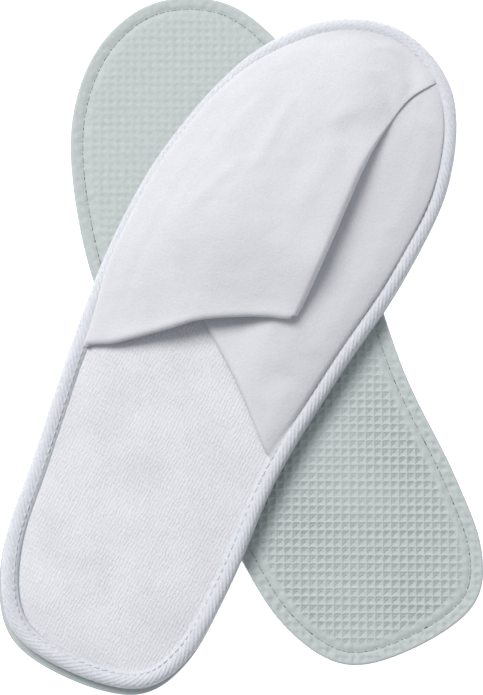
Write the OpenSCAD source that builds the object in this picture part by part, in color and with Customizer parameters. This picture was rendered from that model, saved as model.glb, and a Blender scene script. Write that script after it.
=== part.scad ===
// Pair of closed-toe spa slippers, stored crossed: the right slipper lies upside down on its flattened
// upper, and the left slipper lies across it, sole on sole. All sizes are in millimetres.
// A slipper's own frame: x is 0 on the middle line and points to the left slipper's inner side, y is 0 at
// half length and points to the toe, and z is 0 on the walking face of the sole and points to the foot.

/* [Slipper] */
// Length of the left slipper over its binding, heel to toe
left_len = 288; // [278:1:298]
// Length of the right slipper, which is sewn a little shorter
right_len = 282; // [278:1:298]
// Width over the binding at the ball of the foot
slipper_w = 111; // [104:1:118]

/* [Sole and insole] */
// Thickness of the foamed outsole
outsole_t = 4.5; // [3.5:0.25:6]
// Thickness of the sponge pad inside the insole
sponge_t = 3; // [2:0.25:4]
// Thickness of the terry insole cover
cover_t = 1.2; // [0.8:0.1:2]
// How far the left outsole is sewn towards the heel
outsole_shift = 3; // [0:0.5:4]

/* [Edge] */
// Width of the rolled binding tape, seen from above
binding_w = 6; // [5:0.5:7]
// Thickness of the binding tape
tape_t = 0.8; // [0.6:0.1:1]
// Distance of the sole seam from the outsole's edge
seam_inset = 5; // [4.5:0.25:5.5]
// Thickness of the sewing thread
thread_t = 0.6; // [0.4:0.1:0.8]

/* [Upper] */
// Distance from the heel to the throat at the sides
throat_side = 116; // [110:1:122]
// How much further forward the throat lies on the instep
throat_dip = 34; // [26:1:38]
// Height of the left upper over its insole at the throat
crest_h = 18; // [16:1:22]
// Thickness of the velour face
velour_t = 1.2; // [0.8:0.1:1.4]
// Thickness of the sponge between velour and lining
interlining_t = 1.2; // [0.8:0.1:1.4]
// Thickness of the lining
lining_t = 0.6; // [0.5:0.1:0.8]
// Width of the hem turned in at the throat
hem_w = 9; // [7:1:11]

/* [Stack] */
// Slope of the upturned right sole, down towards its toe
pitch = 5; // [4:0.5:6]
// Turn of the right slipper on the floor
right_turn = 21; // [15:1:27]
// Turn of the left slipper across the right one
cross_turn = -49; // [-58:1:-40]
// Left slipper's middle, sideways from the right one's
cross_x = -17; // [-20:1:-10]
// Left slipper's middle, towards the right one's toe
cross_y = 2; // [-2:1:4]

/* [Hidden] */
// Foot-shaped outline at 288 x 111, from the heel round the inner side, toe and outer side.
SHAPE_LEN = 288;
SHAPE_W = 111;
SHAPE = [
    [8, 0], [38, 7], [50, 27], [51, 60], [47.5, 105], [50, 150], [55, 200], [53, 241], [37, 275],
    [8, 288], [-21, 278], [-43, 249], [-54.5, 203], [-55.5, 160], [-50, 115], [-42, 70], [-34.5, 30],
    [-18, 5]
];
TOE = 9;             // index of the toe in SHAPE
STEPS = 5;           // outline points per span of SHAPE
$long = left_len;    // length of the slipper being drawn
edge_round = 0.8;    // step that stands for the outsole's and binding's rounded edges
clear = 0.3;         // gap between pieces on different bodies
touch = 0.02;        // gap between the two walking faces
stack_x = 7.3;       // place of the right slipper's middle from the origin, which is under the
stack_y = 4.6;       // middle of the crossed pair

// Heights in a slipper's own frame.
binding_z = outsole_t;
sponge_z = binding_z + tape_t;
cover_z = sponge_z + sponge_t;
insole_z = cover_z + cover_t;
binding_top = insole_z + tape_t;
held_inset = 2 * tape_t;
rim_inset = binding_w + clear;
upper_t = velour_t + interlining_t + lining_t;
hem_t = 0.8;
layer_gap = 0.3;     // gap between the hem and the lining, and under the pressed upper

// Mesh of the upper: rows run from the throat to the toe, columns from side to side.
ROWS = 12;
COLS = 16;
TOE_FULLNESS = 2.4;  // higher keeps the upper's height longer towards the toe
TOE_ROUND = 0.55;    // lower makes the toe blunter
SIDE_ROUND = 0.6;    // lower makes the sides steeper
pressed_h = crest_h + 2;

// ---- Outline ----

function half_len() = $long / 2;

function shape_at(i) =
    let (p = SHAPE[(i + len(SHAPE)) % len(SHAPE)])
    [p.x * slipper_w / SHAPE_W, p.y * $long / SHAPE_LEN - half_len()];

// Catmull-Rom curve through the outline's points: position, then direction.
function curve(a, b, c, d, t) =
    (2 * b + (c - a) * t + (2 * a - 5 * b + 4 * c - d) * t * t + (3 * b - a - 3 * c + d) * t * t * t) / 2;
function curve_dir(a, b, c, d, t) =
    ((c - a) + 2 * (2 * a - 5 * b + 4 * c - d) * t + 3 * (3 * b - a - 3 * c + d) * t * t) / 2;

// One point of the outline, moved inwards by inset.
function edge_point(i, t, inset) =
    let (
        a = shape_at(i - 1), b = shape_at(i), c = shape_at(i + 1), d = shape_at(i + 2),
        dir = curve_dir(a, b, c, d, t)
    )
    curve(a, b, c, d, t) + inset * [-dir.y, dir.x] / norm(dir);

function edge(inset) =
    [for (i = [0 : len(SHAPE) - 1], k = [0 : STEPS - 1]) edge_point(i, k / STEPS, inset)];

// The inner and the outer side of the outline as [y, x] pairs, for looking up x at a given y.
function side(first, last, inset) =
    [for (i = [first : last]) let (p = edge_point(floor(i / STEPS), i % STEPS / STEPS, inset)) [p.y, p.x]];
function inner_side(inset) = side(0, TOE * STEPS, inset);
function outer_side(inset) = side(TOE * STEPS, len(SHAPE) * STEPS, inset);

// ---- Flat pieces ----

module plate(inset, low, high) {
    translate([0, 0, low])
        linear_extrude(high - low)
            polygon(edge(inset));
}

module band(inset_out, inset_in, low, high) {
    translate([0, 0, low])
        linear_extrude(high - low)
            difference() {
                polygon(edge(inset_out));
                polygon(edge(inset_in));
            }
}

// Foamed sheet with a rounded walking edge and the groove that the sole seam pulls into it.
module outsole() {
    difference() {
        union() {
            plate(edge_round, 0, edge_round);
            plate(0, edge_round, outsole_t);
        }
        band(seam_inset - thread_t, seam_inset + thread_t, -1, thread_t);
    }
}

// Thread line sunk in the sole's groove.
module sole_seam() {
    band(seam_inset - thread_t / 2, seam_inset + thread_t / 2, touch, thread_t);
}

// Sponge pad: its edge is held in the binding, its middle rests on the outsole.
module sponge_pad() {
    plate(rim_inset, binding_z, sponge_z);
    plate(held_inset, sponge_z, cover_z);
}

module insole_cover() {
    plate(held_inset, cover_z, insole_z);
}

// Tape folded round the insole's edge: a lower leg, a rounded outside and an upper leg.
module binding() {
    difference() {
        union() {
            band(edge_round, binding_w, binding_z, binding_top);
            band(0, binding_w, sponge_z, insole_z);
        }
        plate(held_inset, sponge_z, insole_z);
        binding_seam();
    }
}

// Thread line half sunk in the binding's upper leg.
module binding_seam() {
    low = binding_top - thread_t / 2;
    band(binding_w - 2 * thread_t, binding_w - thread_t, low, low + thread_t);
}

// ---- Upper ----

// Distance of the throat from half length, at the angle a across the instep.
function throat_y(a) = throat_side - half_len() + throat_dip * pow(sin(a), 2);

// Height of the floor over the walking face while the slipper lies upside down.
function floor_z(y) = binding_top + (half_len() - y) * tan(pitch);

// Share of the upper's thickness that is left where floor and insole press it thin, near the toe.
function squeeze(y, rim_z) = min(1, (floor_z(y) - rim_z - layer_gap) / upper_t);

// A point of the upper's surface that lies depth under its face. s runs from the throat to the toe and
// a from the outer side to the inner side. inner and outer are the sides at that depth.
function upper_point(s, a, depth, height, rim_z, pressed, inner, outer) =
    let (
        toe_y = max([for (p = inner) p[0]]) - 0.5,
        y = throat_y(a) + (toe_y - throat_y(a)) * s,
        u = max(0, (y - throat_y(0)) / (toe_y - throat_y(0))),
        rise = (height - depth) * pow(max(0, 1 - pow(u, TOE_FULLNESS)), TOE_ROUND),
        x_in = lookup(y, inner),
        x_out = lookup(y, outer),
        z = rim_z + rise * pow(sin(a), SIDE_ROUND)
    )
    [
        (x_in + x_out) / 2 - (x_in - x_out) / 2 * cos(a),
        y,
        pressed ? min(z, floor_z(y) - depth * squeeze(y, rim_z)) : z
    ];

function upper_surface(depth, height, rim_z, pressed, reach) =
    let (inner = inner_side(rim_inset + depth), outer = outer_side(rim_inset + depth))
    [for (j = [0 : ROWS], i = [0 : COLS])
        let (s = reach > 0 ? min(1, reach * j / ROWS) : sin(90 * j / ROWS))
        upper_point(s, 180 * i / COLS, depth, height, rim_z, pressed, inner, outer)];

// One layer of the upper, from depth to depth + t under its face. reach is the share of the upper's length
// that the layer covers, from the throat on, or 0 for all of it.
module upper_layer(depth, t, height, rim_z, pressed, reach = 0) {
    wide = COLS + 1;
    count = (ROWS + 1) * wide;
    last = ROWS * wide;
    points = concat(
        upper_surface(depth, height, rim_z, pressed, reach),
        upper_surface(depth + t, height, rim_z, pressed, reach)
    );
    face = [for (j = [0 : ROWS - 1], i = [0 : COLS - 1])
        let (p = j * wide + i) each [[p, p + wide, p + wide + 1], [p, p + wide + 1, p + 1]]];
    back = [for (f = face) [f[2] + count, f[1] + count, f[0] + count]];
    sides = [for (j = [0 : ROWS - 1])
        let (p = j * wide, q = p + COLS) each [
            [p, p + count, p + wide + count], [p, p + wide + count, p + wide],
            [q, q + wide, q + wide + count], [q, q + wide + count, q + count]
        ]];
    ends = [for (i = [0 : COLS - 1])
        let (p = i, q = last + i) each [
            [p, p + 1, p + 1 + count], [p, p + 1 + count, p + count],
            [q, q + count, q + 1 + count], [q, q + 1 + count, q + 1]
        ]];
    polyhedron(points, concat(face, back, sides, ends));
}

module upper_velour(height, rim_z, pressed) {
    upper_layer(0, velour_t, height, rim_z, pressed);
}

module upper_sponge(height, rim_z, pressed) {
    upper_layer(velour_t, interlining_t, height, rim_z, pressed);
}

module upper_lining(height, rim_z, pressed) {
    upper_layer(velour_t + interlining_t, lining_t, height, rim_z, pressed);
}

module throat_hem(height, rim_z, pressed) {
    reach = hem_w / (half_len() - throat_y(90));
    upper_layer(upper_t + layer_gap, hem_t, height, rim_z, pressed, reach);
}

// ---- Where each slipper lies ----

// The frame of the right slipper's upturned walking face.
module on_walking_face() {
    $long = right_len;
    translate([stack_x, stack_y, floor_z(0) * cos(pitch)])
        rotate(right_turn)
            rotate([-pitch, 0, 0])
                children();
}

// Turns the pieces of a left slipper into a right one's, upside down on the floor.
module place_right() {
    on_walking_face()
        rotate([0, 180, 0])
            mirror([1, 0, 0])
                children();
}

// Lays the left slipper's pieces on the right slipper's walking face.
module place_left() {
    on_walking_face()
        translate([cross_x, cross_y, touch])
            rotate(cross_turn)
                left_length()
                    children();
}

module left_length() {
    $long = left_len;
    children();
}

// ---- Right slipper ----

module right_outsole() color("#c4cbc9") place_right() outsole();
module right_sponge_pad() color("#f2efe2") place_right() sponge_pad();
module right_insole_cover() color("#e2e3e8") place_right() insole_cover();
module right_binding() color("#d6d9de") place_right() binding();
module right_sole_seam() color("#9aa3a2") place_right() sole_seam();
module right_binding_seam() color("#f4f4f4") place_right() binding_seam();
module right_upper_velour() color("#e0e2e7") place_right() upper_velour(pressed_h, insole_z, true);
module right_upper_sponge() color("#f2efe2") place_right() upper_sponge(pressed_h, insole_z, true);
module right_upper_lining() color("#ececec") place_right() upper_lining(pressed_h, insole_z, true);
module right_throat_hem() color("#e0e2e7") place_right() throat_hem(pressed_h, insole_z, true);

// ---- Left slipper ----

left_rim = insole_z + clear;
module left_outsole() color("#c4cbc9") place_left() translate([0, -outsole_shift, 0]) outsole();
module left_sponge_pad() color("#f2efe2") place_left() sponge_pad();
module left_insole_cover() color("#e2e3e8") place_left() insole_cover();
module left_binding() color("#d6d9de") place_left() binding();
module left_sole_seam() color("#9aa3a2") place_left() translate([0, -outsole_shift, 0]) sole_seam();
module left_binding_seam() color("#f4f4f4") place_left() binding_seam();
module left_upper_velour() color("#e0e2e7") place_left() upper_velour(crest_h, left_rim, false);
module left_upper_sponge() color("#f2efe2") place_left() upper_sponge(crest_h, left_rim, false);
module left_upper_lining() color("#ececec") place_left() upper_lining(crest_h, left_rim, false);
module left_throat_hem() color("#e0e2e7") place_left() throat_hem(crest_h, left_rim, false);

right_outsole();
right_sponge_pad();
right_insole_cover();
right_binding();
right_sole_seam();
right_binding_seam();
right_upper_velour();
right_upper_sponge();
right_upper_lining();
right_throat_hem();
left_outsole();
left_sponge_pad();
left_insole_cover();
left_binding();
left_sole_seam();
left_binding_seam();
left_upper_velour();
left_upper_sponge();
left_upper_lining();
left_throat_hem();
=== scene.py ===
"""Looks of a crossed pair of spa slippers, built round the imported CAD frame.

Each slipper is made in its own frame, in millimetres: x is 0 on the middle line and points to the left
slipper's inner side, y points to the toe, and z is 0 on the walking face and points to the foot. A matrix
then takes it to the row frame, in metres.
"""

import math

import bpy
import numpy as np
from mathutils import Matrix, Vector
from mathutils.geometry import delaunay_2d_cdt


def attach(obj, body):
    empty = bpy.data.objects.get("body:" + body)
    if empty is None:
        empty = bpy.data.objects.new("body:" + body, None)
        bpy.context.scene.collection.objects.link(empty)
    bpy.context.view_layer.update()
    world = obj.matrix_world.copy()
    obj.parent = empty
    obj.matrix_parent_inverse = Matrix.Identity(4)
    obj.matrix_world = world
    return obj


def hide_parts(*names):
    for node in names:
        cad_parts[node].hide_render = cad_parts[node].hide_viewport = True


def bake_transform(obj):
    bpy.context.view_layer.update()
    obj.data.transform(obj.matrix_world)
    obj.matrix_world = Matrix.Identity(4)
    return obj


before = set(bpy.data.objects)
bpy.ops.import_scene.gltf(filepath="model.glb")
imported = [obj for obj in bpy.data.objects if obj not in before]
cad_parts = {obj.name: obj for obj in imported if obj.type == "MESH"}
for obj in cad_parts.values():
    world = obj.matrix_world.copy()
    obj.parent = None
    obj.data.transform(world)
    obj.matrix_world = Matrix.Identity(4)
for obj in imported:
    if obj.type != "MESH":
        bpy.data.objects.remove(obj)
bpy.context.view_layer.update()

# ---- Sizes, in millimetres, as in the CAD ----
OUTSOLE_T = 4.5
INSOLE_Z = 9.5
BINDING_TOP = 10.3
SEAM_INSET = 5.0
UPPER_T = 3.0
VELOUR_T = 1.2
LINING_T = 0.6
HEM_T = 0.8
HEM_W = 9.0
RIGHT_HALF = 141.0
OUTSOLE_SHIFT = 3.0
PITCH = math.radians(5)


# ---- Numbers and noise ----
def ease(x, low, high):
    t = np.clip((np.asarray(x, float) - low) / (high - low), 0, 1)
    return t * t * (3 - 2 * t)


def ripple(x, y, size, seed, waves=7):
    """Smooth noise from about -1 to 1 with bumps about size across."""
    rng = np.random.default_rng(seed)
    total = np.zeros(np.broadcast(x, y).shape)
    for _ in range(waves):
        angle, phase = rng.uniform(0, 2 * math.pi, 2)
        k = 2 * math.pi / (size * rng.uniform(1.3, 2.7))
        total = total + np.sin(k * (x * math.cos(angle) + y * math.sin(angle)) + phase)
    return total / math.sqrt(waves * 2)


def unit(v):
    return v / np.maximum(np.linalg.norm(v, axis=-1, keepdims=True), 1e-12)


# ---- Where each slipper lies, as in the CAD ----
SLOPE_H = (BINDING_TOP + RIGHT_HALF * math.tan(PITCH)) * math.cos(PITCH)
ON_SOLE = (
    Matrix.Translation((7.3, 4.6, SLOPE_H))
    @ Matrix.Rotation(math.radians(21), 4, "Z")
    @ Matrix.Rotation(-PITCH, 4, "X")
)
TO_ROW = {
    "left": ON_SOLE
    @ Matrix.Translation((-17, 2, 0.02))
    @ Matrix.Rotation(math.radians(-49), 4, "Z"),
    "right": ON_SOLE @ Matrix.Diagonal((1, 1, -1, 1)),
}


def to_row(side, p):
    m = np.array(TO_ROW[side], float)
    return (np.asarray(p, float) @ m[:3, :3].T + m[:3, 3]) * 0.001


def to_slipper(side, p):
    m = np.array(TO_ROW[side].inverted(), float)
    return np.asarray(p, float) * 1000 @ m[:3, :3].T + m[:3, 3]


class Outline:
    """The outline of one slipper, read from its CAD outsole and run evenly round from the heel."""

    COUNT = 1440

    def __init__(self, side, shift):
        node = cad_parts[side + "_outsole"]
        co = to_slipper(side, np.array([v.co for v in node.data.vertices], float))
        top = co[np.abs(co[:, 2] - OUTSOLE_T) < 0.05][:, :2] + (0, shift)
        top = np.unique(np.round(top, 2), axis=0)
        around = np.arctan2(top[:, 1], top[:, 0])
        p = top[np.argsort((around + math.pi / 2) % (2 * math.pi))]
        t = np.linspace(0, 1, 16, endpoint=False)[None, :, None]
        a, b, c, d = (np.roll(p, k, axis=0)[:, None] for k in (1, 0, -1, -2))
        fine = (
            2 * b + (c - a) * t + (2 * a - 5 * b + 4 * c - d) * t**2 + (3 * b - a - 3 * c + d) * t**3
        ) / 2
        fine = fine.reshape(-1, 2)
        closed = np.vstack([fine, fine[:1]])
        run = np.concatenate([[0], np.cumsum(np.linalg.norm(np.diff(closed, axis=0), axis=1))])
        at = np.arange(self.COUNT) / self.COUNT * run[-1]
        self.length = run[-1]
        self.p = np.stack([np.interp(at, run, closed[:, k]) for k in (0, 1)], axis=1)
        along = unit(np.roll(self.p, -4, axis=0) - np.roll(self.p, 4, axis=0))
        self.inward = np.stack([-along[:, 1], along[:, 0]], axis=1)

    def ring(self, inset, count=None, turn=0.0):
        """count points inset from the outline, from the share turn of the way round."""
        if count is None:
            return self.p + self.inward * np.asarray(inset).reshape(-1, 1)
        return self.at((np.arange(count) / count + turn) % 1, inset)

    def at(self, share, inset):
        """Points at that share of the way round, moved inwards."""
        i = np.asarray(share, float) % 1 * self.COUNT
        low = np.floor(i).astype(int) % self.COUNT
        f = (i - np.floor(i))[..., None]
        high = (low + 1) % self.COUNT
        p = self.p[low] * (1 - f) + self.p[high] * f
        n = unit(self.inward[low] * (1 - f) + self.inward[high] * f)
        return p + n * np.asarray(inset, float)[..., None]

    def depth(self, xy):
        """How far inside the outline each point is, and its share of the way round."""
        xy = np.asarray(xy, float)
        flat = xy.reshape(-1, 2)
        near = np.zeros(len(flat), int)
        for k in range(0, len(flat), 4000):
            part = flat[k : k + 4000]
            gap = (
                (part**2).sum(1)[:, None] - 2 * part @ self.p.T + (self.p**2).sum(1)[None]
            )
            near[k : k + 4000] = gap.argmin(1)
        inside = ((flat - self.p[near]) * self.inward[near]).sum(1)
        return inside.reshape(xy.shape[:-1]), (near / self.COUNT).reshape(xy.shape[:-1])

    def share_near(self, x, y):
        return float(np.linalg.norm(self.ring(5.5) - (x, y), axis=1).argmin() / self.COUNT)


outline = {"left": Outline("left", OUTSOLE_SHIFT), "right": Outline("right", 0.0)}


# ---- Meshes ----
def build(name, side, points, faces, material, cloth=None):
    """A mesh object from points in a slipper's frame. cloth is each point's place on its fabric, in mm."""
    points = np.asarray(points, float).reshape(-1, 3)
    if side == "right":
        faces = [f[::-1] for f in faces]
    mesh = bpy.data.meshes.new(name)
    row_points = to_row(side, points)
    row_points[:, 2] = np.maximum(row_points[:, 2], 0.00002)  # soft pieces lie flat on the floor
    mesh.from_pydata(row_points.tolist(), [], [list(map(int, f)) for f in faces])
    mesh.polygons.foreach_set("use_smooth", np.ones(len(mesh.polygons), bool))
    given = points if cloth is None else np.asarray(cloth, float).reshape(-1, 3)
    layer = mesh.attributes.new("cloth", "FLOAT_VECTOR", "POINT")
    layer.data.foreach_set("vector", given.astype(np.float32).ravel())
    mesh.materials.append(material)
    mesh.update()
    o = bpy.data.objects.new(name, mesh)
    bpy.context.scene.collection.objects.link(o)
    return o


def grid(rows, cols, wrap_rows=False, wrap_cols=False, start=0):
    """Quads of a grid of points, numbered row by row."""
    r = np.arange(rows if wrap_rows else rows - 1)
    c = np.arange(cols if wrap_cols else cols - 1)
    r, c = (a.ravel() for a in np.meshgrid(r, c, indexing="ij"))
    r2, c2 = (r + 1) % rows, (c + 1) % cols
    return (
        np.stack([r * cols + c, r * cols + c2, r2 * cols + c2, r2 * cols + c], axis=1) + start
    ).tolist()


def tile(rings, inner):
    """Triangles over the area inside rings[0], with every ring and every inner point as corners."""
    points = np.vstack([*rings, inner]) if len(inner) else np.vstack(rings)
    edges, start = [], 0
    for ring in rings:
        n = len(ring)
        edges += [(start + k, start + (k + 1) % n) for k in range(n)]
        start += n
    out = delaunay_2d_cdt([Vector(p) for p in points.tolist()], edges, [], 1, 1e-6)
    xy = np.array([tuple(v) for v in out[0]], float)
    new = {old: k for k, olds in enumerate(out[3]) for old in olds}
    rim = [new[k] for k in range(len(rings[0]))]
    faces = []
    for f in out[2]:
        a, b, c = (xy[k] for k in f)
        turn = (b[0] - a[0]) * (c[1] - a[1]) - (b[1] - a[1]) * (c[0] - a[0])
        faces.append(list(f) if turn > 0 else list(f)[::-1])
    return xy, faces, rim


def slab(low, high):
    """A closed solid between two tiled sheets, each (points, triangles, rim), whose rims match."""
    (p, f, rim), (q, g, rim_q) = low, high
    n, m = len(p), len(rim)
    faces = [t[::-1] for t in f] + [[k + n for k in t] for t in g]
    faces += [
        [rim[k], rim[(k + 1) % m], rim_q[(k + 1) % m] + n, rim_q[k] + n] for k in range(m)
    ]
    return np.vstack([p, q]), faces


def lifted(sheet, z):
    xy, faces, rim = sheet
    return np.column_stack([xy, z]), faces, rim


def spaced_grid(half_x, half_y, step, angle=0.0):
    """Points of a square grid, turned by angle, over the box from -half to half."""
    reach = math.hypot(half_x, half_y)
    n = int(reach / step) + 1
    k = np.arange(-n, n + 1) * step
    gx, gy = (a.ravel() for a in np.meshgrid(k, k))
    x = gx * math.cos(angle) - gy * math.sin(angle)
    y = gx * math.sin(angle) + gy * math.cos(angle)
    keep = (np.abs(x) < half_x) & (np.abs(y) < half_y)
    return np.stack([x, y], axis=1)[keep]


# ---- Materials ----
class Nodes:
    """A small builder for one procedural material."""

    def __init__(self, name, rough, sheen=0.0):
        self.m = bpy.data.materials.new(name)
        self.m.use_nodes = True
        self.t = self.m.node_tree
        self.shader = self.t.nodes["Principled BSDF"]
        self.shader.inputs["Roughness"].default_value = rough
        self.shader.inputs["Specular IOR Level"].default_value = 0.25
        if sheen:
            self.shader.inputs["Sheen Weight"].default_value = sheen
            self.shader.inputs["Sheen Roughness"].default_value = 0.45
        self.object = self.add("ShaderNodeTexCoord").outputs["Object"]
        cloth = self.add("ShaderNodeAttribute")
        cloth.attribute_name = "cloth"
        self.cloth = cloth.outputs["Vector"]

    def add(self, kind, **values):
        n = self.t.nodes.new(kind)
        for key, value in values.items():
            if key in n.inputs:
                n.inputs[key].default_value = value
            else:
                setattr(n, key, value)
        return n

    def link(self, a, b):
        self.t.links.new(a, b)

    def noise(self, size_mm, detail=2.0, rough=0.5, where=None):
        """Noise with features about size_mm across, from object or cloth coordinates."""
        n = self.add("ShaderNodeTexNoise", Detail=detail, Roughness=rough)
        on_cloth = where is not None
        n.inputs["Scale"].default_value = 1 / size_mm if on_cloth else 1000 / size_mm
        self.link(where if on_cloth else self.object, n.inputs["Vector"])
        return n.outputs[0]

    def cells(self, size_mm, where=None, feature="F1"):
        n = self.add("ShaderNodeTexVoronoi", feature=feature)
        on_cloth = where is not None
        n.inputs["Scale"].default_value = 1 / size_mm if on_cloth else 1000 / size_mm
        self.link(where if on_cloth else self.object, n.inputs["Vector"])
        return n.outputs["Distance"]

    def math(self, op, a, b=None, c=None):
        n = self.add("ShaderNodeMath", operation=op)
        for k, v in enumerate((a, b, c)):
            if v is None:
                continue
            if isinstance(v, (int, float)):
                n.inputs[k].default_value = v
            else:
                self.link(v, n.inputs[k])
        return n.outputs[0]

    def parts(self, vector):
        n = self.add("ShaderNodeSeparateXYZ")
        self.link(vector, n.inputs[0])
        return n.outputs

    def ramp(self, value, stops):
        n = self.add("ShaderNodeValToRGB")
        e = n.color_ramp.elements
        while len(e) < len(stops):
            e.new(0.5)
        for k, (at, colour) in enumerate(stops):
            e[k].position = at
            e[k].color = (*colour, 1)
        self.link(value, n.inputs[0])
        return n.outputs[0]

    def mix(self, a, b, share):
        n = self.add("ShaderNodeMix", data_type="RGBA")
        for value, socket in ((share, n.inputs[0]), (a, n.inputs[6]), (b, n.inputs[7])):
            if isinstance(value, (int, float)):
                socket.default_value = value
            elif isinstance(value, tuple):
                socket.default_value = (*value, 1)
            else:
                self.link(value, socket)
        return n.outputs[2]

    def tint(self, a, b):
        """a multiplied by b."""
        n = self.add("ShaderNodeMix", data_type="RGBA", blend_type="MULTIPLY")
        n.inputs[0].default_value = 1.0
        self.link(a, n.inputs[6])
        self.link(b, n.inputs[7])
        return n.outputs[2]

    def bump(self, height, depth_mm, strength=1.0, under=None):
        n = self.add("ShaderNodeBump", Strength=strength, Distance=depth_mm / 1000)
        self.link(height, n.inputs["Height"])
        if under is not None:
            self.link(under, n.inputs["Normal"])
        return n.outputs[0]

    def finish(self, colour, normal=None, rough=None):
        self.link(colour, self.shader.inputs["Base Color"])
        if normal is not None:
            self.link(normal, self.shader.inputs["Normal"])
        if rough is not None:
            self.link(rough, self.shader.inputs["Roughness"])
        return self.m


def shade(colour, k):
    return tuple(min(1.0, c * k) for c in colour)


# Pitches of the cloths' patterns, in mm
TERRY_RIB = 1.3
TERRY_LOOP = 1.9
TWILL_YARN = 0.5
LINING_WEAVE = 0.6

WHITE = (0.612, 0.620, 0.655)
TAPE = (0.60, 0.618, 0.662)
SOLE = (0.447, 0.484, 0.484)


def velour_material():
    """Short, soft pile: a mottled nap with brushed patches."""
    n = Nodes("velour", 0.92, 0.25)
    nap = n.noise(0.9, 3, 0.6)
    patch = n.noise(14, 2, 0.5)
    tone = n.math("ADD", n.math("MULTIPLY", nap, 0.6), n.math("MULTIPLY", patch, 0.4))
    stops = [(0.3, shade(WHITE, 0.90)), (0.5, shade(WHITE, 0.94)), (0.7, shade(WHITE, 0.975))]
    colour = n.ramp(tone, stops)
    soft = n.bump(n.noise(6, 2, 0.5), 0.35, 0.5)
    return n.finish(colour, n.bump(nap, 0.28, 0.7, soft))


def terry_material():
    """Looped towelling: fine ribs along the foot, each broken into loops."""
    n = Nodes("terry", 0.95, 0.2)
    x, y, _ = n.parts(n.cloth)
    wobble = n.noise(3.2, 2, 0.6, n.cloth)
    straight = n.math("MULTIPLY", x, 2 * math.pi / TERRY_RIB)
    across = n.math("ADD", straight, n.math("MULTIPLY", wobble, 12.0))
    rib = n.math("SINE", across)
    run = n.math("MULTIPLY", y, 2 * math.pi / TERRY_LOOP)
    loop = n.math("SINE", n.math("ADD", run, n.math("MULTIPLY", rib, 1.6)))
    broken = n.math("MULTIPLY", rib, n.math("MULTIPLY_ADD", loop, 0.3, 0.4))
    weave = n.math("MULTIPLY", broken, n.math("MULTIPLY", n.noise(5, 2, 0.5, n.cloth), 0.9))
    pile = n.math("ADD", weave, n.noise(1.1, 3, 0.65, n.cloth))
    tone = n.math("ADD", n.math("MULTIPLY", pile, 0.35), n.math("MULTIPLY", n.noise(20, 2, 0.5), 0.4))
    stops = [(0.2, shade(WHITE, 0.90)), (0.42, shade(WHITE, 1.05)), (0.62, shade(WHITE, 1.12))]
    colour = n.ramp(tone, stops)
    return n.finish(colour, n.bump(pile, 0.3, 0.8))


def twill_material():
    """Twill tape: fine threads across the ribs that are in the mesh, with painted highlight on the ribs'
    crests and painted shade between them.
    """
    n = Nodes("twill", 0.8, 0.1)
    s, t, rib = n.parts(n.cloth)
    slant = n.math("SUBTRACT", t, n.math("MULTIPLY", s, 0.5))
    yarn = n.math("SINE", n.math("MULTIPLY", slant, 2 * math.pi / TWILL_YARN))
    tone = n.math("ADD", n.math("MULTIPLY", yarn, 0.1), n.noise(1.2, 2, 0.6))
    # painted highlight and shade: the tone is lighter on the ribs' crests and darker between them
    tone = n.math("ADD", tone, n.math("MULTIPLY", rib, 0.16))
    colour = n.ramp(tone, [(0.25, shade(TAPE, 0.86)), (0.5, TAPE), (0.75, shade(TAPE, 1.06))])
    return n.finish(colour, n.bump(yarn, 0.06, 0.5))


def eva_material():
    """Foamed sole sheet: one greenish grey with a fine mottle, and painted shade darkening the waffle cells.
    """
    n = Nodes("foamed_sole", 0.5)
    _, _, painted_cell_shade = n.parts(n.cloth)
    # painted shade: the waffle cells are mixed towards a darker grey, as deep as they are sunk
    base = n.mix(SOLE, shade(SOLE, 0.72), n.math("MULTIPLY", painted_cell_shade, 0.25))
    mottle = n.noise(1.6, 4, 0.65)
    light = n.ramp(mottle, [(0.3, (0.9, 0.9, 0.9)), (0.55, (1, 1, 1))])
    rough = n.math("MULTIPLY_ADD", n.noise(3, 2), 0.25, 0.42)
    fine = n.bump(n.cells(0.45), 0.05, 0.4)
    return n.finish(n.tint(base, light), n.bump(mottle, 0.12, 0.5, fine), rough)


def sponge_material():
    n = Nodes("sponge", 0.9)
    pores = n.cells(0.9)
    # painted shade: the pores' pits, low in the bump, are coloured darker
    colour = n.ramp(pores, [(0.0, (0.42, 0.41, 0.36)), (0.35, (0.68, 0.67, 0.6)), (0.8, (0.74, 0.73, 0.66))])
    return n.finish(colour, n.bump(pores, 0.3, 0.8))


def lining_material():
    n = Nodes("lining", 0.85)
    x, y, _ = n.parts(n.cloth)
    warp = n.math("SINE", n.math("MULTIPLY", x, 2 * math.pi / LINING_WEAVE))
    weft = n.math("SINE", n.math("MULTIPLY", y, 2 * math.pi / LINING_WEAVE))
    weave = n.math("MULTIPLY", warp, weft)
    tone = n.math("ADD", n.math("MULTIPLY", weave, 0.12), n.noise(4, 3))
    colour = n.ramp(tone, [(0.3, (0.6, 0.61, 0.63)), (0.55, (0.68, 0.69, 0.71)), (0.8, (0.72, 0.73, 0.75))])
    return n.finish(colour, n.bump(weave, 0.08, 0.6))


def thread_material(name, base, rough=0.6):
    """Twisted thread: slanting plies along each stitch."""
    n = Nodes(name, rough)
    s, t, _ = n.parts(n.cloth)
    ply = n.math("SINE", n.math("ADD", n.math("MULTIPLY", s, 7.0), t))
    colour = n.ramp(n.math("MULTIPLY_ADD", ply, 0.25, 0.5), [(0.2, shade(base, 0.8)), (0.7, base)])
    return n.finish(colour, n.bump(ply, 0.08, 0.6))


velour = velour_material()
terry = terry_material()
twill = twill_material()
eva = eva_material()
sponge = sponge_material()
lining = lining_material()
sole_thread = thread_material("sole_thread", (0.36, 0.395, 0.385))
tape_thread = thread_material("tape_thread", (0.66, 0.67, 0.72))
# near-black thread colour for the lenses that paint the shade of the needle holes
needle_hole_shade = thread_material("needle_hole_shade", (0.055, 0.06, 0.06), 0.9)

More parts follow.
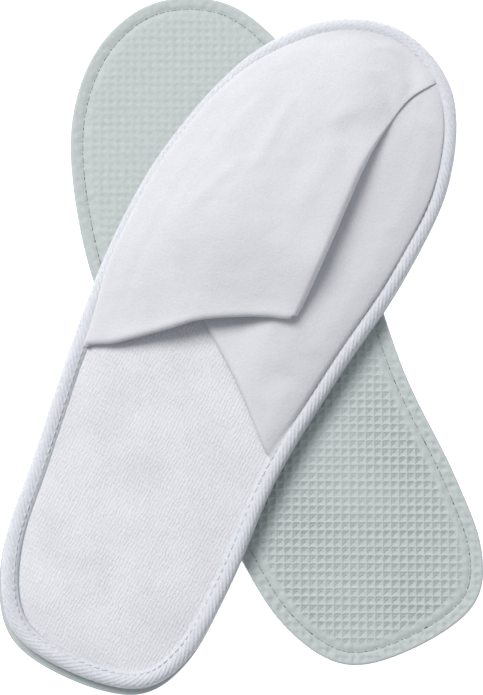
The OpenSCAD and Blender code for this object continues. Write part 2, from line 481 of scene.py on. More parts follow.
# ---- Outsole ----
WAFFLE_PITCH = 3.25
WAFFLE_DEPTH = 1.1
STITCH = 5.4
WAFFLE_TURN = {"right": math.radians(-21), "left": math.radians(21)}
EDGE_R = 0.9
# the needle holes are closed dark lenses on the groove: painted shade where the thread goes in
HOLE_LONG = 1.35  # half length and half width of a needle hole
HOLE_WIDE = 0.62


def stitch_count(side):
    return int(outline[side].length / STITCH)


def sole_relief(side, xy):
    """Height of the walking face over its plane, into the sole, and the share of painted shade in the waffle
    cells.
    """
    edge = outline[side]
    d, share = edge.depth(xy)
    x, y = xy[:, 0], xy[:, 1]
    round_off = EDGE_R * (1 - np.sqrt(np.clip(1 - (1 - np.clip(d, 0, EDGE_R) / EDGE_R) ** 2, 0, 1)))
    a = WAFFLE_TURN[side]
    gx = (x * math.cos(a) + y * math.sin(a)) / WAFFLE_PITCH
    gy = (-x * math.sin(a) + y * math.cos(a)) / WAFFLE_PITCH
    cell = 1 - np.maximum(np.abs(2 * (gx % 1) - 1), np.abs(2 * (gy % 1) - 1))
    heel = 1 - ease(y, -70, 60)
    worn = 0.8 + 0.2 * ripple(x, y, 22, 3)
    inner = ease(d, 5.9, 9.5) * (0.4 + 0.6 * (1 - ease(y, -110, 40)))
    outer = ease(d, 0.8, 2.0) * (1 - ease(d, 3.4, 4.4)) * 0.85 * (0.15 + heel)
    waffle = WAFFLE_DEPTH * cell * (inner + outer) * worn
    # share of painted shade in each waffle cell, following the cell's depth
    painted_cell_shade = cell * np.clip(inner + outer, 0, 1)
    near_hole = 0.5 + 0.5 * np.cos(2 * math.pi * share * stitch_count(side))
    groove = 0.5 * np.exp(-(((d - SEAM_INSET) / 0.7) ** 2))
    pull = np.exp(-(((d - SEAM_INSET) / 2.0) ** 2)) * (0.15 + 0.25 * near_hole)
    skin = (1 - ease(d, 6, 10)) * ease(d, 0.3, 1.5)
    mottle = skin * 0.13 * (1 + ripple(x, y, 2.2, 11, 11))
    return round_off + waffle + groove + pull + mottle, painted_cell_shade


def outsole(side):
    edge = outline[side]
    count = 480
    outer = [edge.ring(k, count) for k in (0.0, 0.22, 0.7)]
    seam = [edge.ring(k, count) for k in (4.35, SEAM_INSET, 5.65)]
    step = WAFFLE_PITCH / 4
    inner = spaced_grid(70, 150, step, WAFFLE_TURN[side])
    d, _ = edge.depth(inner)
    inner = inner[((d > 1.15) & (d < 3.9)) | (d > 6.1)]
    xy, faces, rim = tile([*outer, *seam], inner)
    height, painted_cell_shade = sole_relief(side, xy)
    walk = np.column_stack([xy, height]), faces, rim
    rings = [edge.ring(k, count) for k in (0.0, 0.5)]
    top = tile(rings, np.zeros((0, 2)))
    d, _ = edge.depth(top[0])
    high = lifted(top, OUTSOLE_T - 0.35 * (1 - ease(d, -0.1, 0.5)))
    points, tiles = slab(walk, high)
    cloth = points.copy()
    cloth[:, 2] = 0
    # the third value carries the share of painted shade in the waffle cells
    cloth[: len(painted_cell_shade), 2] = painted_cell_shade
    if side == "left":
        points[:, 1] -= OUTSOLE_SHIFT
    o = build(side + "_sole_sheet", side, points, tiles, eva, cloth)
    deep = edge.depth(xy)[0] > 8
    smooth = np.ones(len(tiles), bool)
    smooth[: len(faces)] = ~(deep & (xy[:, 1] < 25))[np.array(faces)].all(1)
    o.data.polygons.foreach_set("use_smooth", smooth)
    return o


def sole_stitches(side):
    """Lockstitch in the outsole's groove, with a dark lens between stitches as painted shade for each needle
    hole.
    """
    edge = outline[side]
    n = stitch_count(side)
    hole = np.arange(n) / n
    half = 0.75 / edge.length

    def height(s):
        xy = edge.at(s, np.full(len(s), SEAM_INSET))
        return sole_relief(side, xy)[0] - 0.02

    along, around = 7, 6
    points, faces, cloth = [], [], []
    for k in range(n):
        t = np.linspace(0, 1, along)
        s = hole[k] + half + (1 / n - 2 * half) * t
        xy = edge.at(s, np.full(along, SEAM_INSET))
        out = unit(edge.at(s, np.full(along, SEAM_INSET + 1)) - xy)
        z = height(s) + 0.45 * np.abs(2 * t - 1) ** 4
        first = len(points)
        for i in range(along):
            r = 0.34 * (0.6 if i in (0, along - 1) else 1)
            for j in range(around):
                g = 2 * math.pi * j / around
                points.append([*(xy[i] + out[i] * r * math.cos(g)), z[i] + r * 0.8 * math.sin(g)])
                cloth.append([t[i] * 4 + k, j, 0])
        faces += [f[::-1] for f in grid(along, around, wrap_cols=True, start=first)]
        faces.append([first + j for j in range(around)])
        faces.append([first + (along - 1) * around + j for j in range(around)][::-1])
    threads = len(faces)
    # dark lenses at the needle holes: painted shade standing in for open holes
    big = np.random.default_rng(8).uniform(0.75, 1.35, n)
    for k in range(n):
        here = np.array([hole[k]])
        c = edge.at(here, np.array([SEAM_INSET]))[0]
        way = unit(edge.at(here + 0.001, np.array([SEAM_INSET]))[0] - c)
        side_way = np.array([-way[1], way[0]])
        z = float(height(here)[0])
        first = len(points)
        for j in range(8):
            g = 2 * math.pi * j / 8
            rim = way * HOLE_LONG * math.cos(g) + side_way * HOLE_WIDE * math.sin(g)
            points.append([*(c + rim * big[k]), z + 0.02])
        points.append([*c, z - 0.09])
        points.append([*c, z + 0.5])
        cloth += [[j, 0, 0] for j in range(10)]
        for j in range(8):
            a, b = first + j, first + (j + 1) % 8
            faces += [[b, a, first + 8], [a, b, first + 9]]
    if side == "left":
        points = np.array(points) - (0, OUTSOLE_SHIFT, 0)
    o = build(side + "_sole_stitches", side, points, faces, sole_thread, cloth)
    o.data.materials.append(needle_hole_shade)
    marks = np.zeros(len(o.data.polygons), np.int32)
    marks[threads:] = 1
    o.data.polygons.foreach_set("material_index", marks)
    return o


# ---- Insole ----
def heel_hollow(xy):
    """Share of the deeper hollow along the binding at the heel's outer side."""
    x, y = xy[..., 0], xy[..., 1]
    return (1 - ease(y, -125, -60)) * ease(-0.6 * x - 0.8 * (y + 118), -12, 22)


def insole_top(side, xy, d=None):
    """Height of the terry's face: low along the binding and crowned inside it."""
    d = outline[side].depth(xy)[0] if d is None else d
    heel = heel_hollow(xy)
    crown = (1.9 + 3.2 * heel) * (1 - np.exp(-np.clip(d - 5.0, 0, None) / (9.0 + 5.0 * heel)))
    soft = 0.14 * ripple(xy[..., 0], xy[..., 1], 24, 5) * ease(d, 5, 14)
    return INSOLE_Z - 0.85 - 1.4 * heel + crown + soft


def insole(side):
    """Terry cover and the sponge pad under it."""
    edge = outline[side]
    count = 360
    rings = [edge.ring(k, count) for k in (2.4, 4.6, 5.6, 6.6, 8.0, 10.0)]
    inner = spaced_grid(70, 150, 2.6)
    inner = inner[edge.depth(inner)[0] > 11.2]
    cover = tile(rings, inner)
    d, _ = edge.depth(cover[0])
    top = insole_top(side, cover[0], d) - 0.5 * (1 - ease(d, 2.4, 5.4))
    points, faces = slab(lifted(cover, top - 1.1), lifted(cover, top))
    o = build(side + "_terry_cover", side, points, faces, terry)
    rings = [edge.ring(k, 180) for k in (2.6, 6.2, 9.0)]
    inner = spaced_grid(70, 150, 6)
    inner = inner[edge.depth(inner)[0] > 12]
    pad = tile(rings, inner)
    d, _ = edge.depth(pad[0])
    low = np.where(d < 6.5, 5.35, OUTSOLE_T + 0.05)
    high = insole_top(side, pad[0], d) - 1.2 - 0.5 * (1 - ease(d, 2.4, 5.4))
    points, faces = slab(lifted(pad, low), lifted(pad, high))
    p = build(side + "_sponge_sheet", side, points, faces, sponge)
    return o, p


# ---- Binding ----
BINDING_PROFILE = [
    # inset, height and share of the ribs' height, from the inner edge over the top to the underside
    (6.9, 6.9, 0.0), (6.8, 8.9, 0.1), (6.1, 9.75, 0.3), (4.9, 10.4, 0.7), (3.4, 10.78, 1),
    (2.2, 10.62, 1), (1.2, 10.15, 1), (0.5, 9.35, 1), (0.08, 8.3, 1), (0.0, 7.2, 1),
    (0.2, 6.15, 1), (0.7, 5.25, 0.8), (1.6, 4.7, 0.4), (3.2, 4.58, 0), (6.0, 4.58, 0),
    (6.0, 5.2, 0), (3.4, 5.25, 0), (1.7, 5.7, 0), (1.05, 7.2, 0), (1.5, 9.0, 0),
    (2.4, 9.35, 0), (3.6, 9.35, 0), (5.2, 8.9, 0),
]
RIB_PITCH = 3.0
RIB_HEIGHT = 0.2
RIB_SLANT = 1.75
SEEN_POINTS = 11


def binding(side):
    """Twill tape rolled round the insole's edge, its ribs standing across it on a slant."""
    edge = outline[side]
    count = 1500
    given = np.array(BINDING_PROFILE)
    profile = np.vstack([spline(given[:SEEN_POINTS], 31), given[SEEN_POINTS:]])
    d, z, share = profile.T
    ahead = np.roll(profile[:, :2], -1, axis=0) - np.roll(profile[:, :2], 1, axis=0)
    normal = unit(np.stack([ahead[:, 1], -ahead[:, 0]], axis=1))
    run = np.concatenate([[0], np.cumsum(np.linalg.norm(np.diff(profile[:, :2], axis=0), axis=1))])
    turns = round(edge.length / RIB_PITCH)
    at = np.arange(count) / count
    s = at * edge.length
    phase = 2 * math.pi * (turns * at[:, None] + RIB_SLANT * run[None] / RIB_PITCH)
    soft = 1 - 0.55 * ease(edge.at(at, np.zeros(count))[:, 1], 90, 130)
    rib = RIB_HEIGHT * soft[:, None] * np.sin(phase) * share[None]
    sway = 0.22 * np.sin(2 * math.pi * 9 * at + 1) + 0.15 * np.sin(2 * math.pi * 23 * at)
    plump = 0.14 * np.sin(2 * math.pi * 17 * at + 2)
    loose = (d[None] / 6) * np.sqrt(np.clip(share[None], 0, 1))
    inset = d[None] + rib * normal[None, :, 0] + sway[:, None] * loose
    high = z[None] + rib * normal[None, :, 1] + plump[:, None] * (z[None] > 9.9)
    xy = edge.at(np.repeat(at[:, None], len(profile), 1), inset)
    points = np.concatenate([xy, high[..., None]], axis=2)
    # the third value, each point's place on its rib, also paints the tape lighter on the crests and darker
    # between them: painted highlight and shade
    cloth = np.stack(
        [
            np.broadcast_to(s[:, None], inset.shape),
            np.broadcast_to(run[None], inset.shape),
            np.sin(phase) * share[None] * soft[:, None],
        ],
        axis=2,
    )
    faces = grid(count, len(profile), True, True)
    return build(side + "_binding_tape", side, points, faces, twill, cloth)


def tape_stitches(side):
    edge = outline[side]
    n = int(edge.length / 3.4)
    along, around = 6, 6
    points, faces, cloth = [], [], []
    for k in range(n):
        t = np.linspace(0, 1, along)
        s = (k + 0.1 + 0.8 * t) / n
        inset = np.full(along, 5.35)
        xy = edge.at(s, inset)
        out = unit(edge.at(s, inset + 1) - xy)
        z = 10.36 - 0.4 * np.abs(2 * t - 1) ** 4
        first = len(points)
        for i in range(along):
            r = 0.27 * (0.6 if i in (0, along - 1) else 1)
            for j in range(around):
                g = 2 * math.pi * j / around
                points.append([*(xy[i] + out[i] * r * math.cos(g)), z[i] + r * math.sin(g)])
                cloth.append([t[i] * 3 + k, j, 0])
        faces += grid(along, around, wrap_cols=True, start=first)
        faces.append([first + j for j in range(around)][::-1])
        faces.append([first + (along - 1) * around + j for j in range(around)])
    return build(side + "_tape_stitches", side, points, faces, tape_thread, cloth)


# ---- Uppers ----
def relaxed(face, free):
    """The face after a cloth simulation, which wrinkles and puffs it. free is each point's largest move."""
    rows, cols = face.shape[:2]
    mesh = bpy.data.meshes.new("upper_cloth")
    mesh.from_pydata((face.reshape(-1, 3) * CLOTH_SCALE).tolist(), [], grid(rows, cols))
    o = bpy.data.objects.new("upper_cloth", mesh)
    scene = bpy.context.scene
    scene.collection.objects.link(o)
    pins = o.vertex_groups.new(name="pins")
    for k in np.flatnonzero(free.ravel() < 0.05):
        pins.add([int(k)], 1.0, "REPLACE")
    cloth = o.modifiers.new("cloth", "CLOTH")
    settings = cloth.settings
    settings.quality = 6
    settings.mass = 0.1
    settings.tension_stiffness = settings.compression_stiffness = 15
    settings.bending_stiffness = 1.5
    settings.shrink_min = -CLOTH_EASE
    settings.vertex_group_mass = "pins"
    settings.use_pressure = True
    settings.uniform_pressure_force = CLOTH_PRESSURE
    settings.effector_weights.gravity = 0
    cloth.collision_settings.use_collision = False
    cloth.point_cache.frame_start = 1
    cloth.point_cache.frame_end = CLOTH_FRAMES
    for at in range(1, CLOTH_FRAMES + 1):
        scene.frame_set(at)
    moved = o.evaluated_get(bpy.context.evaluated_depsgraph_get()).data
    co = np.zeros(len(moved.vertices) * 3)
    moved.vertices.foreach_get("co", co)
    step = co.reshape(rows, cols, 3) / CLOTH_SCALE - face
    scene.frame_set(1)
    bpy.data.objects.remove(o)
    bpy.data.meshes.remove(mesh)
    size = np.linalg.norm(step, axis=2)
    cap = np.minimum(1, free / np.maximum(size, 1e-6))
    return face + smoothed(smoothed(step * cap[..., None], 1, 0), 1, 1)


def rise_along(y, back, toe):
    u = np.clip((y - back) / (toe - back), 0, 1)
    return np.clip(1 - u**2.4, 0, 1) ** 0.4


def spline(points, count):
    """count points, evenly spaced, on a smooth curve through the given ones."""
    p = np.array(points, float)
    p = np.vstack([2 * p[0] - p[1], p, 2 * p[-1] - p[-2]])
    t = np.linspace(0, 1, 24, endpoint=False)[:, None]
    parts = []
    for k in range(1, len(p) - 2):
        a, b, c, d = p[k - 1 : k + 3]
        parts.append(
            (2 * b + (c - a) * t + (2 * a - 5 * b + 4 * c - d) * t**2 + (3 * b - a - 3 * c + d) * t**3) / 2
        )
    line = np.vstack([*parts, p[-2:-1]])
    run = np.concatenate([[0], np.cumsum(np.linalg.norm(np.diff(line, axis=0), axis=1))])
    at = np.linspace(0, run[-1], count)
    return np.stack([np.interp(at, run, line[:, k]) for k in range(p.shape[1])], axis=1)


def along_curve(line, share):
    run = np.concatenate([[0], np.cumsum(np.linalg.norm(np.diff(line, axis=0), axis=1))])
    at = np.asarray(share) * run[-1]
    return np.stack([np.interp(at, run, line[:, k]) for k in range(line.shape[1])], axis=-1)


def normals_of(surface):
    """Unit normals of a grid of points, rows along the first axis."""
    du = np.gradient(surface, axis=1)
    dv = np.gradient(surface, axis=0)
    return unit(np.cross(du, dv))


def smoothed(a, times=1, axis=0):
    a = np.asarray(a, float)
    for _ in range(times):
        before = np.take(a, [0, *range(a.shape[axis] - 1)], axis=axis)
        after = np.take(a, [*range(1, a.shape[axis]), a.shape[axis] - 1], axis=axis)
        a = (before + 2 * a + after) / 4
    return a


def layer_loop(face, inward, thick, parts, tail_rows, round_rows, outer_depth, inner_depth, wrap):
    """Points of one layer of an upper as closed loops along the rows.

    face is the grid of the velour's face, rows from the throat to the toe; inward its unit vectors into
    the shoe; thick the local share of full thickness. The layer lies between the two depths. With wrap, the
    layer also rolls round the throat edge and runs back inside as the hem."""
    rows = list(range(0, face.shape[0], parts[0]))
    if rows[-1] != face.shape[0] - 1:
        rows.append(face.shape[0] - 1)
    cols = list(range(0, face.shape[1], parts[1]))
    if cols[-1] != face.shape[1] - 1:
        cols.append(face.shape[1] - 1)
    f, n = face[np.ix_(rows, cols)], inward[np.ix_(rows, cols)]
    k = thick[np.ix_(rows, cols)][..., None]
    over = [f[i] + n[i] * k[i] * outer_depth for i in range(len(rows) - 1, -1, -1)]
    under = [f[i] + n[i] * k[i] * inner_depth for i in range(len(rows))]
    if not wrap:
        return np.array(over + under)
    out = unit(f[0] - f[1])
    total = UPPER_T + HEM_T
    n0, k0 = n[0], k[0]
    roll, back = [], []
    for t in np.linspace(0, math.pi, round_rows + 2)[1:-1]:
        middle = f[0] + n0 * k0 * total / 2
        roll.append(middle + (out * 1.25 * math.sin(t) - n0 * math.cos(t)) * k0 * total / 2)
        back.append(
            middle + (out * 0.9 * math.sin(t) * 0.55 - n0 * math.cos(t) * 0.58) * k0 * total / 2
        )
    tail = [f[i] + n[i] * k[i] * total for i in tail_rows]
    tail_in = [f[i] + n[i] * k[i] * (total - HEM_T * 0.9) for i in tail_rows]
    loops = over + roll + tail + tail_in[::-1] + back[::-1] + under
    return np.array(loops)


def close_loops(name, side, loops, material, cloth):
    """A closed mesh from a stack of rows that closes on itself, with flat ends at both sides."""
    rows, cols = loops.shape[:2]
    faces = [f[::-1] for f in grid(rows, cols, wrap_rows=True)]
    ends = []
    for c in (0, cols - 1):
        ring = [r * cols + c for r in range(rows)]
        strip = []
        i, j = 0, rows - 1
        while j - i > 1:
            if j - i == 2:
                strip.append([ring[i], ring[i + 1], ring[j]])
            else:
                strip.append([ring[i], ring[i + 1], ring[j - 1], ring[j]])
            i, j = i + 1, j - 1
        ends += strip if c == 0 else [s[::-1] for s in strip]
    return build(name, side, loops, faces + ends, material, cloth)


def upper_layers(side, face, inward, thick):
    """The velour with its hem, the sponge and the lining of one upper."""
    made = {}
    row_gap = np.linalg.norm(face[1:] - face[:-1], axis=2).mean(1)
    run = np.concatenate([[0], np.cumsum(row_gap)])
    last = int(np.searchsorted(run, HEM_W))
    tail = list(range(0, last + 1, 2))
    loops = layer_loop(face, inward, thick, (1, 1), tail, 7, 0.0, VELOUR_T, True)
    made["velour"] = close_loops(side + "_velour_sheet", side, loops, velour, loops)
    loops = layer_loop(face, inward, thick, (2, 2), [], 0, VELOUR_T + 0.02, UPPER_T - LINING_T - 0.02, False)
    made["sponge"] = close_loops(side + "_laminated_sponge", side, loops, sponge, loops)
    loops = layer_loop(face, inward, thick, (2, 2), [], 0, UPPER_T - LINING_T, UPPER_T - 0.02, False)
    made["lining"] = close_loops(side + "_lining_sheet", side, loops, lining, loops)
    return made


RIDGES = [
    # a soft wrinkle's two ends, its width and its height
    (-31, 42, -24, 63, 2.6, 0.45), (-17, 66, -17, 94, 2.5, 0.45), (-8, 30, -2, 48, 5, 0.2),
    (-34, 70, -28, 96, 4, 0.4), (2, 96, 12, 112, 3.4, 0.5), (6, 60, 9, 84, 5, 0.4),
]


def wrinkles(x, y):
    total = 0.13 * ripple(x, y, 17, 21) + 0.05 * ripple(x, y, 6, 22)
    for x1, y1, x2, y2, wide, high in RIDGES:
        dx, dy = x2 - x1, y2 - y1
        t = np.clip(((x - x1) * dx + (y - y1) * dy) / (dx * dx + dy * dy), 0, 1)
        gap = np.hypot(x - x1 - t * dx, y - y1 - t * dy)
        total = total + high * np.exp(-((gap / wide) ** 2))
    return total


RIM_INSET = 5.2  # where the upper meets the binding, and how high
RIM_Z = 10.45
CLOTH_SCALE = 0.01  # mm to the units the simulation runs in
CLOTH_EASE = 0.007  # share by which the cloth grows, so that it wrinkles
CLOTH_PRESSURE = 0.3
CLOTH_FRAMES = 20
CLOTH_CAP = 0.8  # the farthest that a point may move, in mm
FOLD_R = 2.4  # radius of the crease, seen from above
FOLD_HIGH = 8.4  # height of the folded layers at the crease
FOLD_PRESS = 0.55  # share of the thickness left where the crease is squeezed
BULGE = 5.3  # how far the upper stands over the tape on the outer and on the inner side
LOW_BULGE = 1.6
# Lines of the folded upper, seen from above in the slipper's frame
THROAT_TOP = [
    (-45.5, -27.5), (-38, -22.5), (-28.4, -14.6), (-17.7, -5.3),
    (-7, 4.0), (4.7, 11.5), (15.4, 17.2), (25.2, 21.0),
]
CREASE = [
    (25.2, 21.0), (25.2, 28.6), (24.2, 46.8), (22.6, 66.5),
    (21.2, 84), (21.2, 100), (23.4, 118), (29.5, 130),
]
INNER_FOLD = [(-13, 9.5), (-7.5, 32), (0.5, 62), (9.5, 92), (19.5, 116), (29.5, 130)]
THROAT_LOW = [(-13, 9.5), (-7, 4.2), (2.9, -2.3), (18.1, -13.1), (33, -25.5), (41, -31.5)]


def left_upper_face():
    """The face of the left upper, which lies in a lengthwise fold.

    Each row runs from the outer rim over the crest to the crease, back under to the inner fold, and on to
    the inner rim. Rows run from the throat to the place on the rim where the crease ends."""
    edge = outline["left"]
    rows = 92
    pole = edge.share_near(29.5, 130)
    outer = edge.share_near(-46, -27.5)
    inner = edge.share_near(42, -32)
    v = np.linspace(0, 1, rows)
    v = 0.6 * v + 0.4 * v**1.6
    rim_out = edge.at(outer + (pole - outer) * v, np.full(rows, RIM_INSET))
    rim_in = edge.at(inner + (pole - inner) * v, np.full(rows, RIM_INSET))
    crease = along_curve(spline(CREASE, 400), v)
    fold = along_curve(spline(INNER_FOLD, 400), v)
    top_edge = along_curve(spline(THROAT_TOP, 400), np.linspace(0, 1, 200))
    low_edge = along_curve(spline(THROAT_LOW, 400), np.linspace(0, 1, 200))

    def sag(edge_line, share, row_v):
        """How far the throat's curve leaves its own chord, fading with the rows."""
        chord = edge_line[0] + (edge_line[-1] - edge_line[0]) * share[:, None]
        return (along_curve(edge_line, share) - chord) * (1 - ease(row_v, 0, 0.45))

    def swell(e, reach):
        """Share of the full bulge at a distance e from the rim."""
        u = np.clip(e / reach, 0, 1)
        return 6.75 * u * (1 - u) ** 2

    out_way = unit(edge.at(outer + (pole - outer) * v, np.full(rows, RIM_INSET - 1)) - rim_out)
    in_way = unit(edge.at(inner + (pole - inner) * v, np.full(rows, RIM_INSET - 1)) - rim_in)
    overlap = np.linalg.norm(crease - fold, axis=1)
    open_fold = ease(overlap, 2.5, 19)
    n_top, n_turn, n_mid, n_inner, n_low = 58, 9, 16, 7, 34
    s_top = np.linspace(0, 1, n_top)
    s_top = 0.5 * s_top + 0.5 * s_top**2
    s_mid = np.linspace(0, 1, n_mid + 2)[1:-1]
    s_low = np.linspace(0, 1, n_low)
    face = []
    thick = []
    uncovered = []
    y_back, y_toe = -28.0, 139.0
    for i in range(rows):
        a, b = crease[i], fold[i]
        k = open_fold[i]
        across = float(np.linalg.norm(a - rim_out[i]))
        r = min(FOLD_R * max(k, 0.16), 0.3 * across)
        least = 0.16 * min(1, across / 4) + 0.01
        gap = 0.35 * max(k, 0.15)
        way = unit(a - rim_out[i])
        turn_c = a - way * r
        top_xy = rim_out[i] + (turn_c - rim_out[i]) * s_top[:, None] + sag(top_edge, s_top, v[i])
        low_xy = b + (rim_in[i] - b) * s_low[:, None] + sag(low_edge, s_low, v[i])
        mid_xy = turn_c + (b - turn_c) * s_mid[:, None]
        d_top, d_low = edge.depth(top_xy)[0], edge.depth(low_xy)[0]
        d_mid, d_c = edge.depth(mid_xy)[0], edge.depth(turn_c)[0]
        e_top, e_low = np.clip(d_top - RIM_INSET, 0, None), np.clip(d_low - RIM_INSET, 0, None)
        e_mid, e_c = np.clip(d_mid - RIM_INSET, 0, None), max(float(d_c) - RIM_INSET, 0)

        def low_z(e, y):
            reach = max(e_c + 1.2, 9.0)
            hump = (1.4 + 3.6 * ease(v[i], 0, 0.25)) * ease(e_c, 8, 21)
            deep = ease(v[i], 0.05, 0.3)
            slope = (1 - deep) * ease(e, 0.12 * reach, 1.02 * reach) + deep * np.clip(e / reach, 0, 1) ** 1.9
            fall = (1.6 + 3.2 * ease(v[i], 0, 0.25)) * ease(e, reach, 1.7 * reach)
            high = 3.2 * (1 - (1 - np.clip(e / 9, 0, 1)) ** 2) + hump * slope - fall
            return RIM_Z + high * rise_along(y, y_back, y_toe)

        def dome(e, y):
            part = ease(v[i], 0, 0.28)
            full = 1 - (1 - np.clip(e / 44, 0, 1)) ** (1.35 + 0.95 * part)
            return RIM_Z + (11.2 + 4.6 * part) * full * rise_along(y, y_back, y_toe)

        full = (0.45 + 0.55 * ease(v[i], 0, 0.16)) * (1 - ease(v[i], 0.45, 0.8))
        puff = full * swell(e_top, 12) * (1 - ease(s_top, 0.5, 0.9))
        top_xy = top_xy + out_way[i] * (BULGE * puff)[:, None]
        puff_low = (1 - ease(v[i], 0.85, 1)) * ease(v[i], 0, 0.1) * swell(e_low, 8) * ease(s_low, 0.1, 0.5)
        low_xy = low_xy + in_way[i] * (LOW_BULGE * puff_low)[:, None]

        z_low = low_z(e_low, low_xy[:, 1])
        z_low_c = float(low_z(e_c, turn_c[1]))
        z_crease = z_low_c + gap + FOLD_HIGH * (0.8 + 0.2 * ease(v[i], 0, 0.2)) * max(k, 0.04)
        rounder = 2.0 * full * (1 - np.exp(-e_top / 0.8)) * (1 - ease(e_top, 4, 26))
        far = np.linalg.norm(top_xy - rim_out[i], axis=1)
        e_dome = e_top + (np.maximum(far, e_top) - e_top) * (1 - ease(v[i], 0.45, 0.8))
        z_dome = dome(e_dome, top_xy[:, 1]) + rounder
        z_dome_c = float(z_dome[-1])
        near = np.linalg.norm(top_xy - turn_c, axis=1)
        drop = (z_dome_c - z_crease) * (1 - ease(near, 0, 24))
        over_fold = 1 - ease(near, overlap[i] - 3, overlap[i] + 9)
        stack = low_z(e_top, top_xy[:, 1]) + gap + 6.6 * max(k, 0.16)
        z_top = np.maximum(z_dome - drop, RIM_Z)
        z_top = z_top + np.clip(stack - z_top, 0, None) * over_fold * ease(e_top, 0, 3)
        z_mid = low_z(e_mid, mid_xy[:, 1]) + gap
        g = np.linspace(0, math.pi, n_turn + 2)[1:-1]
        middle_z = (z_top[-1] + z_low_c + gap) / 2
        half = (z_top[-1] - z_low_c - gap) / 2
        turn = np.column_stack([turn_c + way * (r * np.sin(g))[:, None], middle_z + half * np.cos(g)])
        back = unit(b - turn_c)
        h = np.linspace(0, math.pi, n_inner + 2)[1:-1]
        z_b = float(low_z(max(float(edge.depth(b)[0]) - RIM_INSET, 0), b[1]))
        inner_turn = np.column_stack(
            [b + back * (0.5 * k * np.sin(h))[:, None], z_b + gap / 2 * (1 + np.cos(h))]
        )
        row = np.vstack(
            [
                np.column_stack([top_xy, z_top]),
                turn,
                np.column_stack([mid_xy, z_mid]),
                inner_turn,
                np.column_stack([low_xy, z_low]),
            ]
        )
        face.append(row)
        uncovered.append(ease(np.linalg.norm(low_xy - b, axis=1), overlap[i] + 1, overlap[i] + 8))
        insole_low = insole_top("left", low_xy, d_low)
        insole_edge = insole_top("left", top_xy, d_top)
        room_low = (z_low - insole_low - 0.1) / UPPER_T
        room_top = (z_top - insole_edge - 0.1) / UPPER_T
        t_top = np.clip(room_top, least, 1)
        t_low = np.clip(room_low, least, 1)
        squeeze = np.clip(r / FOLD_R, least, 1)
        tight = FOLD_PRESS * squeeze
        over_fold = 1 - ease(near, 0, max(overlap[i], 1) + 4)
        t_top = np.minimum(t_top, 1 - (1 - squeeze) * over_fold)
        thick.append(
            np.concatenate(
                [
                    t_top,
                    np.full(n_turn, min(tight, t_top[-1])),
                    np.full(n_mid, min(squeeze, 1)),
                    np.full(n_inner, min(squeeze, t_low[0])),
                    t_low,
                ]
            )
        )
    face = np.array(face)
    thick = smoothed(smoothed(np.array(thick), 2, 1), 2, 0)
    normal = normals_of(face)
    inward = -normal * np.sign(normal[:, n_top // 2, 2].mean())
    e = edge.depth(face[..., :2])[0] - RIM_INSET
    lift = wrinkles(face[..., 0], face[..., 1]) * ease(e, 0.5, 10)
    cover = np.zeros(face.shape[1])
    cover[: n_top - 6] = 1
    cover[-(n_low - 6) :] = 0.7
    cover = np.tile(smoothed(cover, 6), (rows, 1))
    cover[:, -n_low:] *= np.array(uncovered)  # the layer under the fold stays still, clear of what lies on it
    cover[:, n_top + n_turn : -n_low] = 0
    face = face - inward * (lift * cover)[..., None]
    steady = ease(v, 0, 0.12) * (1 - ease(v, 0.9, 0.98))
    face = relaxed(face, CLOTH_CAP * cover * steady[:, None] * ease(e, 1, 8))
    return face, inward, thick


def right_upper_face():
    """The face of the right upper, pressed flat between its own sole and the floor."""
    edge = outline["right"]
    rows, cols = 74, 65
    pole = edge.share_near(7.8, 134)
    outer = edge.share_near(-46, -25)
    inner = edge.share_near(44, -25)
    v = np.linspace(0, 1, rows) * 0.985
    rim_out = edge.at(outer + (pole - outer) * v, np.full(rows, RIM_INSET))
    rim_in = edge.at(inner + (pole - inner) * v, np.full(rows, RIM_INSET))
    s = np.linspace(0, 1, cols)
    s = 0.35 * s + 0.65 * (1 - np.cos(math.pi * s)) / 2
    dip = 34 * np.sin(math.pi * s) ** 2
    xy = rim_out[:, None] + (rim_in - rim_out)[:, None] * s[None, :, None]
    xy[..., 1] += dip[None] * ((1 - v) ** 1.5)[:, None]
    d = edge.depth(xy)[0]
    e = np.clip(d - RIM_INSET, 0, None)
    x, y = xy[..., 0], xy[..., 1]
    full = 1 - (1 - np.clip(e / 30, 0, 1)) ** 2.3
    z = RIM_Z - 0.3 + 19.0 * full * rise_along(y, -28, 139)
    z = z + (wrinkles(-x, y) * 1.2) * ease(e, 1, 10)
    floor_z = BINDING_TOP + (RIGHT_HALF - y) * math.tan(PITCH) - 0.06
    k = 1.6
    gap = np.clip(0.5 + 0.5 * (floor_z - z) / k, 0, 1)
    z = floor_z * (1 - gap) + z * gap - k * gap * (1 - gap)
    z = np.minimum(z, floor_z)
    face = np.concatenate([xy, z[..., None]], axis=2)
    thick = np.clip((z - insole_top("right", xy, d) - 0.1) / UPPER_T, 0.12, 1)
    thick = smoothed(smoothed(thick, 2, 1), 2, 0)
    normal = normals_of(face)
    inward = -normal * np.sign(normal[:, cols // 2, 2].mean())
    return face, inward, thick


# ---- Put together ----
# The right upper is modelled without a fold, so its cloth is narrower.
for side in ("right", "left"):
    body = side + "_slipper"
    sole = outsole(side)
    stitches = sole_stitches(side)
    cover, pad = insole(side)
    tape = binding(side)
    tape_line = tape_stitches(side)
    for piece, node, slot in (
        (sole, "outsole", "eva_foam"),
        (stitches, "sole_seam", "grey_thread"),
        (cover, "insole_cover", "terry"),
        (pad, "sponge_pad", "sponge"),
        (tape, "binding", "twill_tape"),
        (tape_line, "binding_seam", "white_thread"),
    ):
        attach(piece, body)
        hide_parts(side + "_" + node)

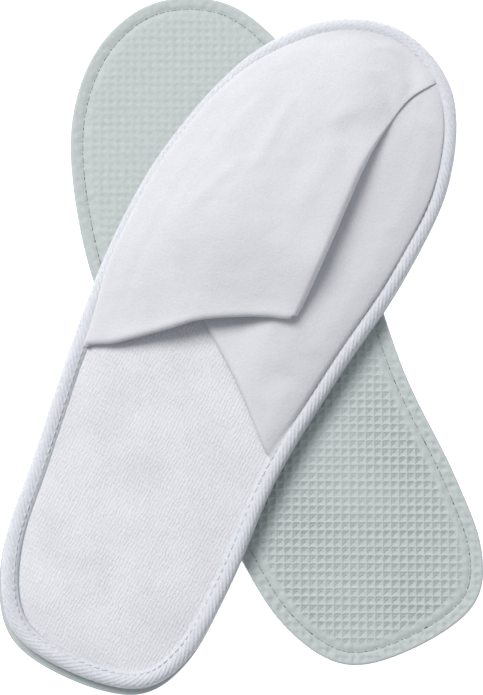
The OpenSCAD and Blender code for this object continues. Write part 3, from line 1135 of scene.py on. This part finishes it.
for side, maker in (("left", left_upper_face), ("right", right_upper_face)):
    face, inward, thick = maker()
    made = upper_layers(side, face, inward, thick)
    for key, nodes, slot in (
        ("velour", (side + "_upper_velour", side + "_throat_hem"), "velour"),
        ("sponge", (side + "_upper_sponge",), "sponge"),
        ("lining", (side + "_upper_lining",), "lining_cloth"),
    ):
        piece = made[key]
        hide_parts(*nodes)
        if side == "left":
            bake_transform(piece)
        else:
            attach(piece, "right_slipper")

# ---- Stage ----
floor_mesh = bpy.data.meshes.new("floor")
floor_mesh.from_pydata([(-3, -3, 0), (3, -3, 0), (3, 3, 0), (-3, 3, 0)], [], [(0, 1, 2, 3)])
paper = Nodes("floor_paper", 0.9)
paper.shader.inputs["Emission Color"].default_value = (1, 1, 1, 1)
paper.shader.inputs["Emission Strength"].default_value = 0.7
floor_mesh.materials.append(
    paper.finish(paper.ramp(paper.noise(60, 2), [(0.3, (0.93, 0.93, 0.935)), (0.7, (0.95, 0.95, 0.955))]))
)
floor = bpy.data.objects.new("floor", floor_mesh)
bpy.context.scene.collection.objects.link(floor)

world = bpy.data.worlds.new("studio")
bpy.context.scene.world = world
world.use_nodes = True
world.node_tree.nodes["Background"].inputs[0].default_value = (0.90, 0.945, 1.0, 1)
world.node_tree.nodes["Background"].inputs[1].default_value = 0.42


def area_light(name, place, aim, size, power):
    data = bpy.data.lights.new(name, "AREA")
    data.shape = "SQUARE"
    data.size = size
    data.energy = power
    data.color = (1.0, 0.985, 0.955)
    lamp = bpy.data.objects.new(name, data)
    lamp.location = place
    lamp.rotation_euler = (Vector(aim) - Vector(place)).to_track_quat("-Z", "Y").to_euler()
    bpy.context.scene.collection.objects.link(lamp)
    return lamp


area_light("key", (-1.9, 2.9, 4.0), (0, 0, 0), 2.5, 290)
area_light("fill", (0.6, -0.5, 1.4), (0, 0, 0), 1.2, 1.5)

TARGET = Vector((0, -0.0037, 0.025))
DISTANCE = 0.85
ELEVATION = math.radians(87.5)
camera_data = bpy.data.cameras.new("camera")
camera = bpy.data.objects.new("camera", camera_data)
camera.location = TARGET + DISTANCE * Vector((0, -math.cos(ELEVATION), math.sin(ELEVATION)))
camera.rotation_euler = (TARGET - camera.location).to_track_quat("-Z", "Y").to_euler()
camera_data.sensor_width = 36
camera_data.lens = 110.1
camera_data.clip_start = 0.01
bpy.context.scene.collection.objects.link(camera)
bpy.context.scene.camera = camera
bpy.context.scene.view_settings.view_transform = "Standard"
